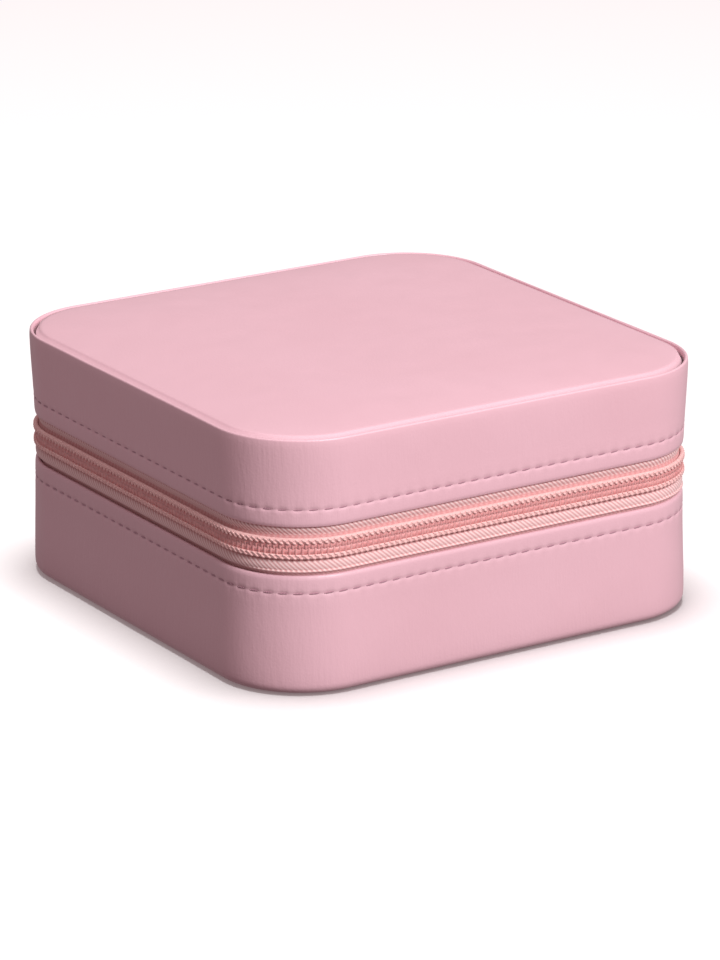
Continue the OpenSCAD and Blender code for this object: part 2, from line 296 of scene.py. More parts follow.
def soften_band(bm, seam_z, edge_z, far_z, flare):
    """Lets the leather wander on its board, pucker at each needle hole and lean out away from the zip."""
    for v in bm.verts:
        run, out, away = round_of(v.co.x, v.co.y)
        sway = flare * ease((v.co.z - edge_z) / (far_z - edge_z))
        if out > -0.6 * mm:
            sway += noise.noise(v.co * 70) * 0.07 * mm + noise.noise(v.co * 210) * 0.03 * mm
            near = math.exp(-((v.co.z - seam_z) / (0.42 * mm)) ** 2)
            hole = (0.5 + 0.5 * math.cos(math.tau * run / stitch_pitch)) ** 3
            beyond = math.exp(-((v.co.z - seam_z) / (1.2 * mm)) ** 2) - near
            sway += 0.24 * mm * near * hole + 0.05 * mm * beyond * hole
        v.co += away * sway


def wall_heights(low, high, count):
    return [low + (high - low) * n / count for n in range(count + 1)]


base_seam_z = base_top - seam_set
foot_flare = 0.49 * mm
foot_r = 2 * mm
foot_turns = 7
turn_r = 0.5 * mm


def turned_edge(edge_z, seam_z, way):
    """The band's profile from its turned-in edge out past the seam; way is 1 up from the edge, -1 down."""
    profile = [(-1.0 * mm, edge_z + way * 3 * mm), (-1.0 * mm, edge_z + way * 0.45 * mm)]
    profile += [
        (-turn_r + turn_r * math.cos(a), edge_z + way * turn_r * (1 - math.sin(a)))
        for a in [math.pi - math.pi * n / 6 for n in range(1, 6)]
    ]
    swell = ((0.02, 0.9), (0.04, 1.5), (0.05, 2.2), (0.03, 2.7))
    profile += [(out * mm, edge_z + way * along * mm) for out, along in swell]
    return profile + [
        (-0.02 * mm, seam_z - way * 0.38 * mm),
        (-seam_groove * 0.8, seam_z - way * 0.15 * mm), (-seam_groove, seam_z),
        (-seam_groove * 0.8, seam_z + way * 0.15 * mm), (-0.02 * mm, seam_z + way * 0.38 * mm),
        (0.02 * mm, seam_z + way * 0.9 * mm), (0.06 * mm, seam_z + way * 1.6 * mm),
    ]


base_profile = turned_edge(base_top, base_seam_z, -1)
base_profile += [(0.05 * mm, z) for z in wall_heights(base_seam_z - 2.6 * mm, foot_r + 1.0 * mm, 8)]
base_profile += [
    (-foot_r + foot_r * math.cos(a), foot_r + 0.05 * mm - foot_r * math.sin(a))
    for a in [math.pi / 2 * n / foot_turns for n in range(foot_turns + 1)]
]
base_profile += [(-6 * mm, 0.05 * mm), (-6 * mm, 0.95 * mm), (-2.2 * mm, 0.95 * mm), (-1.0 * mm, 2.2 * mm)]
bm = bmesh.new()
carry_round(bm, base_profile, step=0.5 * mm)
soften_band(bm, base_seam_z, base_top, 0, foot_flare)
finish_piece("base_leather", bm, "base", "leather", band_leather, "base_leather_band")

# ---- Base seam ----
# A lockstitch in thick thread, nearly 3 mm a stitch, sunk in its groove below the turned
# edge. It holds the leather to the zip tape and stops at the hinge.
# The thread's dark mauve is partly its own deeper pink and partly painted shade, standing for the shadow in
# the seam groove. The hinge, rail and strap stitches use the same colour.
thread_with_painted_shade, tree, shader = new_material("seam_thread", (0.40, 0.19, 0.25), 0.7, Sheen_Weight=0.3)
twist = texture(tree, "ShaderNodeTexWave", 1500, Distortion=1.0)
tint(tree, shader, twist.outputs["Fac"], (0.34, 0.15, 0.20), (0.48, 0.25, 0.31))
add_bump(tree, shader, twist.outputs["Fac"], 0.03 * mm)
stitch_l = 2.3 * mm
stitch_r = 0.17 * mm
bm = bmesh.new()
bmesh.ops.create_uvsphere(bm, u_segments=8, v_segments=5, radius=1)
bead = kept_mesh("bead", bm)
bm.free()


def add_bead(bm, place, half_sizes):
    """One rounded bead of thread, stretched to its half sizes in the place's own axes."""
    stamp(bm, bead, place @ Matrix.Diagonal((*half_sizes, 1)))


def sew_round(name, body, z, lean, *nodes):
    """A row of stitches round three sides, each leaning a little as a lockstitch does."""
    bm = bmesh.new()
    count = int(seam_run / stitch_pitch)
    for n in range(count):
        spot = place_on_case((n + 0.5) * stitch_pitch, -seam_groove + 0.06 * mm, z)
        add_bead(bm, spot @ Matrix.Rotation(lean, 4, "Y"), (stitch_l / 2, stitch_r * 0.8, stitch_r))
    bmesh.ops.recalc_face_normals(bm, faces=bm.faces)
    return finish_piece(name, bm, body, "thread", thread_with_painted_shade, *nodes)


stitch_lean = math.radians(4)
sew_round("base_stitches", "base", base_seam_z, stitch_lean, "base_seam_thread")

# ---- Bottom panel ----
# The leather panel that the case stands on, glued over the turned-under edge.
panel_low, panel_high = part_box("base_bottom_panel")


def add_plan(bm, inset, step):
    """A flat sheet in the case's rounded-square plan, in at every edge by inset."""
    strips = round((corner_r - inset) / step)
    profile = [(-inset - (corner_r - inset) * n / strips, 0) for n in range(strips + 1)]
    carry_round(bm, profile, closed=False, step=step)
    cells = round(side_run / step)
    bmesh.ops.create_grid(bm, x_segments=cells, y_segments=cells, size=core)
    bmesh.ops.remove_doubles(bm, verts=bm.verts, dist=0.001 * mm)
    bmesh.ops.recalc_face_normals(bm, faces=bm.faces)


def edge_depth(v):
    """How far a point of the plan lies in from the outer wall."""
    x = min(half - abs(v.co.x), half)
    y = min(half - abs(v.co.y), half)
    if abs(v.co.x) > core and abs(v.co.y) > core:
        return corner_r - math.hypot(abs(v.co.x) - core, abs(v.co.y) - core)
    return min(x, y)


def plan_slab(inset, low, shape, step):
    """A slab in the case's plan with its flat side at low; shape(depth from the edge, x, y) is its face."""
    bm = bmesh.new()
    add_plan(bm, inset, step)
    up = 1 if shape(1, 0, 0) > low else -1
    rim = [e for e in bm.edges if e.is_boundary]
    for v in bm.verts:
        v.co.z = shape(edge_depth(v) - inset, v.co.x, v.co.y)
    made = bmesh.ops.extrude_edge_only(bm, edges=rim)["geom"]
    for v in new_points(made):
        v.co.z = low
    bmesh.ops.holes_fill(bm, edges=[e for e in bm.edges if e.is_boundary], sides=0)
    bmesh.ops.recalc_face_normals(bm, faces=bm.faces)
    return bm


def rolled_edge(depth, radius):
    """The drop of a rolled edge at a depth in from it: radius at the edge, none past it."""
    if depth >= radius:
        return 0.0
    return radius - math.sqrt(max(radius ** 2 - (radius - depth) ** 2, 0))


panel_leather = pink_leather("leather_panel", 0)
bottom_in = half - panel_high.x
bm = plan_slab(
    bottom_in, panel_high.z,
    lambda depth, x, y: panel_low.z + rolled_edge(depth, 0.4 * mm), 1.5 * mm,
)
finish_piece("bottom_panel", bm, "base", "leather", panel_leather, "base_bottom_panel")

# ---- Base lining ----
# Short-pile blush velvet glued to the inside of the shell, rolled over at the rim.
def blush_velvet(name, colour=(0.76, 0.60, 0.56)):
    material, tree, shader = new_material(
        name, colour, 0.85, Specular_IOR_Level=0.2, Sheen_Weight=0.4, Sheen_Roughness=0.35,
    )
    nap = texture(tree, "ShaderNodeTexNoise", 120, Detail=6, Roughness=0.7)
    dark = tuple(c * 0.90 for c in colour)
    light = tuple(min(c * 1.06, 1) for c in colour)
    tint(tree, shader, nap.outputs["Fac"], dark, light)
    pile = texture(tree, "ShaderNodeTexNoise", 3200, Detail=2)
    add_bump(tree, shader, pile.outputs["Fac"], 0.06 * mm)
    return material


velvet = blush_velvet("velvet_lining")


def line_wall(name, body, node, rim_up):
    """A thin wall of lining whose free edge is rolled."""
    low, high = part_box(node)
    outer = low.x + half
    inner = outer + 0.7 * mm
    free, fixed = (high.z, low.z) if rim_up else (low.z, high.z)
    way = -1 if rim_up else 1
    roll = 0.35 * mm
    profile = [(-outer, fixed), (-outer, free + way * roll)]
    profile += [
        (-outer - roll + roll * math.cos(a), free + way * roll - way * roll * math.sin(a))
        for a in [math.pi * n / 6 for n in range(1, 6)]
    ]
    profile += [(-inner, z) for z in wall_heights(free + way * roll, fixed, 10)]
    bm = bmesh.new()
    carry_round(bm, profile, step=1.2 * mm)
    for v in bm.verts:
        _, out, away = round_of(v.co.x, v.co.y)
        if out < -inner + 0.1 * mm:
            v.co += away * max(noise.noise(v.co * 90), -0.2) * 0.15 * mm
    finish_piece(name, bm, body, "velvet", velvet, node)


line_wall("base_wall_lining", "base", "base_lining", True)

# ---- Floor pad ----
# A thin foam pad in velvet that covers the base's floor, soft at its edge.
pad_low, pad_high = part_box("base_floor_pad")
fit_in = half - pad_high.x
bm = plan_slab(
    fit_in, pad_low.z,
    lambda depth, x, y:
        pad_high.z - rolled_edge(depth, 0.9 * mm) + 0.08 * mm * noise.noise((x * 120, y * 120, 3)),
    1.5 * mm,
)
floor_pad = finish_piece("floor_pad", bm, "base", "velvet", velvet, "base_floor_pad")

# ---- Partition and ring tray ----
# The partition is a board in velvet, glued to the floor between rings and compartments,
# and slotted for the two dividers. The tray pad holds the feet of the ring rolls.
interior_r = corner_r - fit_in


def keep_inside(bm):
    """Presses a piece in at the case's rounded inner corners."""
    for v in bm.verts:
        x, y = abs(v.co.x) - core, abs(v.co.y) - core
        if x > 0 and y > 0 and math.hypot(x, y) > interior_r:
            shrink = interior_r / math.hypot(x, y)
            v.co.x = math.copysign(core + x * shrink, v.co.x)
            v.co.y = math.copysign(core + y * shrink, v.co.y)


def plain_block(bm, low, high):
    """Adds a square-edged block between two corners; returns its points."""
    made = bmesh.ops.create_cube(bm, size=1)["verts"]
    bmesh.ops.scale(bm, vec=high - low, verts=made)
    bmesh.ops.translate(bm, vec=(low + high) / 2, verts=made)
    return made


def round_edges(bm, edges, radius, segments):
    return bmesh.ops.bevel(
        bm, geom=edges, offset=radius, offset_type="OFFSET", affect="EDGES",
        segments=segments, profile=0.5, material=-1,
    )


def soft_block(low, high, radius, cuts=0, segments=4, wander=0.0):
    """A padded block with rounded edges between two corners; wander makes its faces uneven."""
    bm = bmesh.new()
    plain_block(bm, low, high)
    round_edges(bm, bm.edges[:], radius, segments)
    if cuts:
        long_edges = [e for e in bm.edges if e.calc_length() > 3 * radius]
        bmesh.ops.subdivide_edges(bm, edges=long_edges, cuts=cuts, use_grid_fill=True)
    if wander:
        for v in bm.verts:
            v.co += v.normal * wander * noise.noise(v.co * 160)
    bmesh.ops.recalc_face_normals(bm, faces=bm.faces)
    return bm


part_low, part_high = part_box("partition")
divider_low, divider_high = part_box("divider_rear")
divider_y = (divider_low.y + divider_high.y) / 2
slot_half = (divider_high.y - divider_low.y) / 2 + 0.3 * mm
slot_x = divider_low.x - 0.3 * mm


def add_block(bm, low, high, radius, segments=4):
    """Adds one rounded block to a mesh under way."""
    made = plain_block(bm, low, high)
    round_edges(bm, list({e for v in made for e in v.link_edges}), radius, segments)


# The spine runs the whole depth, and three cheeks on it leave the two slots between them
bm = bmesh.new()
add_block(bm, part_low, Vector((slot_x, part_high.y, part_high.z)), 0.85 * mm)
slot_sides = (-divider_y - slot_half, -divider_y + slot_half, divider_y - slot_half, divider_y + slot_half)
stops = (part_low.y, *slot_sides, part_high.y)
for start, end in zip(stops[::2], stops[1::2]):
    foot = Vector((slot_x - 0.6 * mm, start, part_low.z))
    head = Vector((part_high.x, end, part_high.z - 0.1 * mm))
    add_block(bm, foot, head, 0.8 * mm)
finish_piece("partition_board", bm, "base", "velvet", velvet, "partition")

tray_low, tray_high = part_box("ring_tray")
bm = soft_block(tray_low, tray_high, 0.6 * mm, cuts=10)
keep_inside(bm)
tray_pad = finish_piece("ring_tray_pad", bm, "base", "velvet", velvet, "ring_tray")

# ---- Ring rolls ----
# Eight foam rolls sewn in velvet, side by side, so that a ring is held between two of
# them. One cover is blown up as cloth, and each roll is kept to its own place in the tray.
roll_finish = blush_velvet("velvet_rolls", (0.78, 0.63, 0.59))
sim_scale = 20
blow_limit = 0.7 * mm * sim_scale
blow_steps = 16
one_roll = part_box("ring_roll_4")
roll_size = one_roll[1] - one_roll[0]


def stuffed_roll():
    """One roll's cover about its own centre, pinned at its foot and blown up by cloth pressure.

    The foam inside isn't in the simulation; no point is let move further than blow_limit."""
    bm = bmesh.new()
    bmesh.ops.create_cube(bm, size=1)
    body = roll_size - Vector((1.0, 1.4, 1.0)) * mm
    bmesh.ops.scale(bm, vec=body * sim_scale, verts=bm.verts)
    round_edges(bm, bm.edges[:], 3.0 * mm * sim_scale, 5)
    cover = bpy.data.objects.new("roll_cover", kept_mesh("roll_cover", bm))
    bm.free()
    scene.collection.objects.link(cover)
    remesh = cover.modifiers.new("remesh", "REMESH")
    remesh.mode = "VOXEL"
    remesh.voxel_size = 0.75 * mm * sim_scale
    cut = bpy.data.meshes.new_from_object(cover.evaluated_get(bpy.context.evaluated_depsgraph_get()))
    cover.modifiers.clear()
    cover.data = cut
    foot_z = min(v.co.z for v in cut.vertices) + 0.8 * mm * sim_scale
    foot = cover.vertex_groups.new(name="foot")
    foot.add([v.index for v in cut.vertices if v.co.z < foot_z], 1.0, "REPLACE")
    cloth = cover.modifiers.new("cloth", "CLOTH")
    cloth.settings.use_pressure = True
    cloth.settings.uniform_pressure_force = 4
    cloth.settings.tension_stiffness = 12
    cloth.settings.bending_stiffness = 0.6
    cloth.settings.vertex_group_mass = "foot"
    cloth.settings.effector_weights.gravity = 0
    cloth.point_cache.frame_end = blow_steps
    for step in range(1, blow_steps + 1):
        scene.frame_set(step)
    blown = bpy.data.meshes.new_from_object(cover.evaluated_get(bpy.context.evaluated_depsgraph_get()))
    cover.modifiers.clear()
    for v, start in zip(blown.vertices, cut.vertices):
        move = v.co - start.co
        if move.length > blow_limit:
            v.co = start.co + move * (blow_limit / move.length)
    cover.data = blown
    scene.frame_set(1)
    bm = bmesh.new()
    bm.from_mesh(cover.data)
    bmesh.ops.scale(bm, vec=(1 / sim_scale,) * 3, verts=bm.verts)
    bmesh.ops.smooth_vert(bm, verts=bm.verts, factor=0.5, use_axis_x=True, use_axis_y=True, use_axis_z=True)
    bpy.data.objects.remove(cover)
    return bm


roll_bm = stuffed_roll()
roll_mesh = kept_mesh("roll_master", roll_bm)
roll_bm.free()
for n in range(1, 9):
    node = f"ring_roll_{n}"
    low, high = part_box(node)
    bm = bmesh.new()
    bm.from_mesh(roll_mesh)
    centre = (low + high) / 2
    bmesh.ops.translate(bm, vec=centre, verts=bm.verts)
    # Small tucks where the cover is gathered at the ends, and no point outside the roll's own place
    for v in bm.verts:
        across = (v.co.y - centre.y) / (roll_size.y / 2)
        end = max(0.0, abs(v.co.x - centre.x) / (roll_size.x / 2) - 0.8) / 0.2
        tuck = 0.12 * mm * end * math.sin(v.co.y / (0.55 * mm)) if v.co.z > low.z + 3 * mm else 0
        v.co.z += 0.10 * mm * noise.noise(v.co * 260 + Vector((n * 7, 0, 0))) + tuck
        v.co.y = centre.y + max(-1, min(1, across)) * roll_size.y / 2
        v.co.z = max(low.z, min(high.z + 0.3 * mm, v.co.z))
        v.co.x = max(low.x, min(high.x, v.co.x))
    keep_inside(bm)
    bmesh.ops.recalc_face_normals(bm, faces=bm.faces)
    roll = finish_piece(f"roll_{n}", bm, "base", "velvet", roll_finish, node)

# ---- Dividers ----
# Two loose boards in velvet. Each slides down a slot in the partition and lifts out to
# make one larger compartment.
for node in ("divider_front", "divider_rear"):
    low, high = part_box(node)
    bm = soft_block(low, high, 0.9 * mm, cuts=6, wander=0.05 * mm)
    board = finish_piece(f"{node}_board", bm, node, "velvet", velvet, node)

# ---- Zip tapes ----
# Woven polyester twill. The lower tape rounds out over the base and the upper one dips
# under the lid's edge; both run up behind the leather, and are flat at the back.
zip_z = (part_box("zip_coil_upper")[0].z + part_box("zip_coil_lower")[1].z) / 2
tape_finish, tree, shader = new_material(
    "zip_tape", (0.74, 0.46, 0.46), 0.8, Sheen_Weight=0.25, Specular_IOR_Level=0.25,
)
# The tape's colour comes from the rib value. It paints a highlight on each twill rib and shade in the
# grooves between them, over a real but shallow rib. The low values beside the coil are partly the edge
# cord's own red and partly painted shade in the valley by the chain.
rib_shading = tree.nodes.new("ShaderNodeAttribute")
rib_shading.attribute_name = "rib"
ramp = tree.nodes.new("ShaderNodeValToRGB")
ramp.color_ramp.elements[0].position = 0.0
ramp.color_ramp.elements[0].color = (0.60, 0.27, 0.27, 1)
ramp.color_ramp.elements[1].position = 1.0
ramp.color_ramp.elements[1].color = (0.90, 0.67, 0.66, 1)
middle = ramp.color_ramp.elements.new(0.45)
middle.color = (0.72, 0.43, 0.43, 1)
tree.links.new(rib_shading.outputs["Fac"], ramp.inputs["Fac"])
tree.links.new(ramp.outputs["Color"], shader.inputs["Base Color"])
yarn = texture(tree, "ShaderNodeTexNoise", 5200, Detail=2)
add_bump(tree, shader, yarn.outputs["Fac"], 0.03 * mm)
rib_pitch = 0.95 * mm
rib_slope = 1.1
rib_high = 0.07 * mm
tape_step = 0.19 * mm
foot_lift = 0.6 * mm
coil_pitch = 1.18 * mm
front_reach = 0.5 * side_run + 0.6 * corner_run


def on_front(run):
    """1 along the front of the case, easing to 0 round its corners."""
    return 1 - ease((abs(run - 2 * corner_run - 1.5 * side_run) - front_reach + 4 * mm) / (12 * mm))


def finer(line, longest=0.15):
    """The same line with points added, so that no stretch is longer than this (mm)."""
    points = [line[0]]
    for (out, away), (next_out, next_away) in zip(line, line[1:]):
        count = max(1, round(math.hypot(next_out - out, next_away - away) / longest)) if away < 5 else 1
        for k in range(1, count + 1):
            points.append((out + (next_out - out) * k / count, away + (next_away - away) * k / count))
    return points


def weave_tape(name, body, up, line, node):
    """A tape from the coil out to the leather: line gives (outward, distance from the zip's centre)."""
    sign = 1 if up else -1
    skin = [(out * mm, zip_z + sign * away * mm) for out, away in finer(line)]
    back = [(-1.65 * mm, zip_z + sign * away * mm) for away in (8.9, 5.0, 0.35)]
    bm = bmesh.new()
    carry_round(bm, skin + back, sides=3, step=tape_step, lead=2 * mm)
    rib = bm.verts.layers.float.new("rib")
    for v in bm.verts:
        run, out, away = round_of(v.co.x, v.co.y)
        height = abs(v.co.z - zip_z) / mm
        if out < -1.5 * mm:
            continue
        # wave lifts each rib a little and also paints it: light on the rib, with painted shade between
        # ribs. heel darkens the band beside the coil, partly with cord colour and partly with painted
        # shade.
        wave = 0.5 + 0.5 * math.sin(math.tau * (run - rib_slope * (v.co.z - zip_z)) / rib_pitch)
        wave = ease(wave)
        dots = 0.5 + 0.5 * math.sin(math.tau * run / coil_pitch) if up else 0.4
        heel = ease((2.55 - height) / 0.25)
        foot = 0 if up else ease((height - 4.15) / 0.2)
        twill = (1 - heel) * (1 - foot) * (0.15 + 0.85 * wave)
        v[rib] = twill + heel * 0.25 * dots + foot * (0.15 + 0.5 * wave)
        if height > 2.2:
            v.co += away * rib_high * (wave - 0.5) * (1 - foot)
        if not up:
            v.co += away * foot_lift * foot * on_front(run) * (1 - ease((height - 5.3) / 0.1))
    return finish_piece(name, bm, body, "zip_tape", tape_finish, node)


lower_line = (
    (-0.75, 0.35), (-0.75, 1.6), (-0.66, 2.0), (-0.55, 2.2), (-0.40, 2.4), (-0.25, 2.65), (-0.15, 2.95),
    (-0.10, 3.25), (-0.09, 3.55), (-0.12, 3.85), (-0.20, 4.1), (-0.34, 4.3), (-0.56, 4.48), (-0.84, 4.64),
    (-1.08, 4.8), (-1.18, 5.0), (-1.19, 5.28), (-1.2, 5.45), (-1.2, 8.9),
)
upper_line = (
    (-0.75, 0.35), (-0.75, 1.6), (-0.82, 1.9), (-0.92, 2.1), (-0.98, 2.3), (-0.98, 2.5), (-0.92, 2.7),
    (-0.82, 2.9), (-0.72, 3.1), (-0.64, 3.3), (-0.60, 3.5), (-0.62, 3.7), (-0.72, 3.85), (-0.90, 4.0),
    (-1.12, 4.2), (-1.2, 4.6), (-1.2, 8.9),
)
weave_tape("tape_lower", "base", False, lower_line, "zip_tape_lower")
weave_tape("tape_upper", "lid", True, upper_line, "zip_tape_upper")

# ---- Zip coils ----
# Two nylon coils, a turn every 1.2 mm, whose heads pass each other along the centre line.
# Chain stitch over a filler cord, in a paler thread, sews each coil to its tape.
coil_finish, tree, shader = new_material(
    "zip_coil", (0.76, 0.33, 0.33), 0.42,
    Subsurface_Weight=0.15, Subsurface_Scale=0.4 * mm, Subsurface_Radius=(1.0, 0.35, 0.3),
)
shade = texture(tree, "ShaderNodeTexNoise", 700, Detail=3)
tint(tree, shader, shade.outputs["Fac"], (0.71, 0.29, 0.29), (0.80, 0.37, 0.36))
add_bump(tree, shader, shade.outputs["Fac"], 0.02 * mm)
chain_finish, tree, shader = new_material("chain_stitch", (0.82, 0.47, 0.45), 0.6, Sheen_Weight=0.25)
strand = texture(tree, "ShaderNodeTexNoise", 2600, Detail=2)
tint(tree, shader, strand.outputs["Fac"], (0.76, 0.40, 0.39), (0.87, 0.53, 0.51))
add_bump(tree, shader, strand.outputs["Fac"], 0.03 * mm)
chain_start = 4.9 * mm + corner_run
chain_turns = int((seam_run - chain_start) / coil_pitch)
turn_low = -0.62 * mm
turn_high = 1.75 * mm
wire_half = 0.30 * mm
coil_out = 0.05 * mm
coil_in = -0.75 * mm

bm = bmesh.new()
bmesh.ops.create_circle(
    bm, cap_ends=False, radius=1, segments=6,
    matrix=Matrix.Translation((0, 0.8, 0)) @ Matrix.Diagonal((1, 0.2, 1, 1)),
)
bmesh.ops.spin(
    bm, geom=bm.verts[:] + bm.edges[:], cent=(0, 0, 0), axis=(1, 0, 0), dvec=(0, 0, 0),
    angle=math.tau, steps=10, use_merge=True, use_duplicate=False,
)
bmesh.ops.recalc_face_normals(bm, faces=bm.faces)
coil_turn = kept_mesh("coil_turn", bm)
bm.free()


def wind_coil(name, body, up, node):
    """One half of the chain: flattened turns of wire, set half a pitch on from the other half's."""
    sign = 1 if up else -1
    size = Matrix.Diagonal((wire_half, (coil_out - coil_in) / 2, (turn_high - turn_low) / 2, 1))
    lean = Matrix.Rotation(math.radians(3) * sign, 4, "Y")
    bm = bmesh.new()
    for n in range(chain_turns):
        run = chain_start + (n + (0.5 if up else 0)) * coil_pitch
        spot = place_on_case(run, (coil_out + coil_in) / 2, zip_z + sign * (turn_high + turn_low) / 2)
        stamp(bm, coil_turn, spot @ lean @ size)
    core_out = coil_out - 0.09 * mm
    filler = [(core_out, zip_z + sign * away * mm) for away in (0.02, 0.5, 1.1)]
    filler += [(core_out - 0.5 * mm, zip_z + sign * away * mm) for away in (1.1, 0.02)]
    strip = bmesh.new()
    carry_round(strip, filler, sides=3, step=1.2 * mm)
    strip_mesh = kept_mesh("coil_core", strip)
    strip.free()
    stamp(bm, strip_mesh, Matrix())
    finish_piece(name, bm, body, "zip_coil", coil_finish, node)


def sew_chain(name, body, up):
    """The cord along one coil's heel, with two slanted threads of the chain stitch to each turn."""
    sign = 1 if up else -1
    cord = [
        (-0.24 * mm + 0.44 * mm * math.cos(a), zip_z + sign * 1.5 * mm + 0.52 * mm * math.sin(a))
        for a in [math.tau * n / 10 for n in range(10)]
    ]
    bm = bmesh.new()
    carry_round(bm, cord, sides=3, step=1.2 * mm, lead=2 * mm)
    lean = Matrix.Rotation(math.radians(-24), 4, "Y")
    drop = 0.36 * mm if up else 0.20 * mm
    for n in range(chain_turns):
        run = chain_start + (n + 0.25) * coil_pitch
        low = place_on_case(run, 0.12 * mm, zip_z + sign * 1.5 * mm - drop)
        add_bead(bm, low @ lean, (0.45 * mm, 0.20 * mm, 0.24 * mm))
        high = place_on_case(run + coil_pitch / 2, 0.16 * mm, zip_z + sign * 1.5 * mm - drop + 0.44 * mm)
        add_bead(bm, high @ lean, (0.50 * mm, 0.14 * mm, 0.19 * mm))
    finish_piece(name, bm, body, "zip_coil", chain_finish)


wind_coil("coil_lower", "base", False, "zip_coil_lower")
wind_coil("coil_upper", "lid", True, "zip_coil_upper")
sew_chain("chain_stitch_lower", "base", False)
sew_chain("chain_stitch_upper", "lid", True)

# ---- Zip stops ----
# Small rose-gold clamps on the tape ends: one on each tape at the right rear, and one
# where the chain ends beside the hinge.
def rose_gold(name, roughness):
    material, tree, shader = new_material(name, (0.87, 0.60, 0.48), roughness, Metallic=1.0)
    rub = texture(tree, "ShaderNodeTexNoise", 900, stretch=(1, 1, 6), Detail=4)
    tint(tree, shader, rub.outputs["Fac"], roughness * 0.75, roughness * 1.35, "Roughness")
    add_bump(tree, shader, rub.outputs["Fac"], 0.004 * mm)
    return material


gold = rose_gold("rose_gold", 0.2)
stop_bodies = {"zip_top_stop_lower": "base", "zip_top_stop_upper": "lid", "zip_bottom_stop": "base"}
for node, body in stop_bodies.items():
    low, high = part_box(node)
    bm = soft_block(low, high, 0.28 * mm, segments=3)
    finish_piece(f"{node}_clamp", bm, body, "metal", gold, node)

# ---- Hinge ----
# A leather strip across the back, sewn to both halves, with a velvet strip behind it
# inside the case, both in the gap between the two halves.
hinge_low, hinge_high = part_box("hinge_leather")


def hinge_strip(low, high, radius, step, bulge):
    """An upright strip with rounded corners, closely divided so that it can bend."""
    bm = bmesh.new()
    plain_block(bm, low, high)
    upright = [e for e in bm.edges if abs(e.verts[0].co.y - e.verts[1].co.y) > 0.1 * mm]
    round_edges(bm, upright, radius, 5)
    for way, place, end, gap in (
        ((0, 0, 1), low.z + step, high.z - step / 2, step),
        ((1, 0, 0), low.x + 3 * mm, high.x - 2 * mm, 3 * mm),
    ):
        while place < end:
            parts = bm.verts[:] + bm.edges[:] + bm.faces[:]
            bmesh.ops.bisect_plane(bm, geom=parts, plane_co=Vector(way) * place, plane_no=way)
            place += gap
    rim = [e for e in bm.edges if e.calc_face_angle(0) > 1.2]
    round_edges(bm, rim, 0.25 * mm, 2)
    for v in bm.verts:
        edge = max(abs(v.co.z - zip_z) / ((high.z - low.z) / 2), abs(v.co.x) / high.x)
        v.co.y += bulge * max(0, 1 - edge ** 2)
    bmesh.ops.recalc_face_normals(bm, faces=bm.faces)
    return bm


bm = hinge_strip(hinge_low, hinge_high, 2.8 * mm, 0.7 * mm, 0.15 * mm)
strip = finish_piece("hinge_strip", bm, None, "leather", panel_leather, "hinge_leather")
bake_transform(strip)
lining_low, lining_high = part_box("hinge_lining")
bm = hinge_strip(lining_low, lining_high, 0.8 * mm, 0.7 * mm, 0)
strip_lining = finish_piece("hinge_strip_lining", bm, None, "velvet", velvet, "hinge_lining")
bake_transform(strip_lining)

for half_name, body in (("lower", "base"), ("upper", "lid")):
    node = f"hinge_thread_{half_name}"
    low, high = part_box(node)
    bm = bmesh.new()
    count = int((high.x - low.x) / stitch_pitch)
    for n in range(count):
        x = low.x + (n + 0.5) * (high.x - low.x) / count
        spot = Matrix.Translation((x, hinge_high.y + 0.14 * mm, (low.z + high.z) / 2))
        add_bead(bm, spot @ Matrix.Rotation(stitch_lean, 4, "Y"), (stitch_l / 2, stitch_r * 0.8, stitch_r))
    finish_piece(f"hinge_stitches_{half_name}", bm, body, "thread", thread_with_painted_shade, node)

# ---- Lid leather band ----
# The lid's side strip. Its lower edge is turned in over the zip tape, and its upper edge
# stands up as a thin welt all round the padded top.
lid_low, lid_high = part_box("lid_leather_band")
lid_bottom = lid_low.z
case_h = lid_high.z
lid_seam_z = lid_bottom + seam_set
lid_profile = turned_edge(lid_bottom, lid_seam_z, 1)
rim_flare = 0.56 * mm
welt_r = 0.33 * mm
lid_profile += [(0.05 * mm, z) for z in wall_heights(lid_seam_z + 2.6 * mm, case_h - 1.6 * mm, 6)]
lid_profile += [(0.03 * mm, case_h - 1.0 * mm), (0.0, case_h - 0.7 * mm)]
lid_profile += [
    (-0.36 * mm + welt_r * math.cos(a), case_h - welt_r + welt_r * math.sin(a))
    for a in [math.pi * n / 8 for n in range(9)]
]
lid_profile += [(-0.75 * mm, case_h - 1.1 * mm), (-1.0 * mm, case_h - 2.5 * mm)]
bm = bmesh.new()
lid_band_leather = pink_leather("leather_lid_band", 0.05 * mm)
carry_round(bm, lid_profile, step=0.5 * mm)
soften_band(bm, lid_seam_z, lid_bottom, case_h, rim_flare)
finish_piece("lid_leather", bm, "lid", "leather", lid_band_leather, "lid_leather_band")
sew_round("lid_stitches", "lid", lid_seam_z, stitch_lean, "lid_seam_thread")

# ---- Padded top ----
# The top panel is leather over thin foam, tucked down inside the welt so that a narrow
# groove runs all round, and slightly crowned.
foam_finish, tree, shader = new_material("padding_foam", (0.80, 0.77, 0.68), 0.95)
cells = texture(tree, "ShaderNodeTexVoronoi", 1800)
tint(tree, shader, cells.outputs["Distance"], (0.72, 0.69, 0.60), (0.84, 0.81, 0.72))
add_bump(tree, shader, cells.outputs["Distance"], 0.2 * mm)
foam_low, foam_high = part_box("top_foam")
top_in = half - foam_high.x
bm = plan_slab(
    top_in, foam_low.z, lambda depth, x, y: foam_high.z - rolled_edge(depth, 0.8 * mm), 3.3 * mm,
)
top_padding = finish_piece("top_padding", bm, "lid", "foam", foam_finish, "top_foam")

top_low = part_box("top_leather_panel")[0]
groove_drop = 1.1 * mm
shoulder_high = 1.2 * mm
shoulder = 0.22 * mm
swell_high = 0.35 * mm
swell = 6 * mm
crown_high = 0.6 * mm


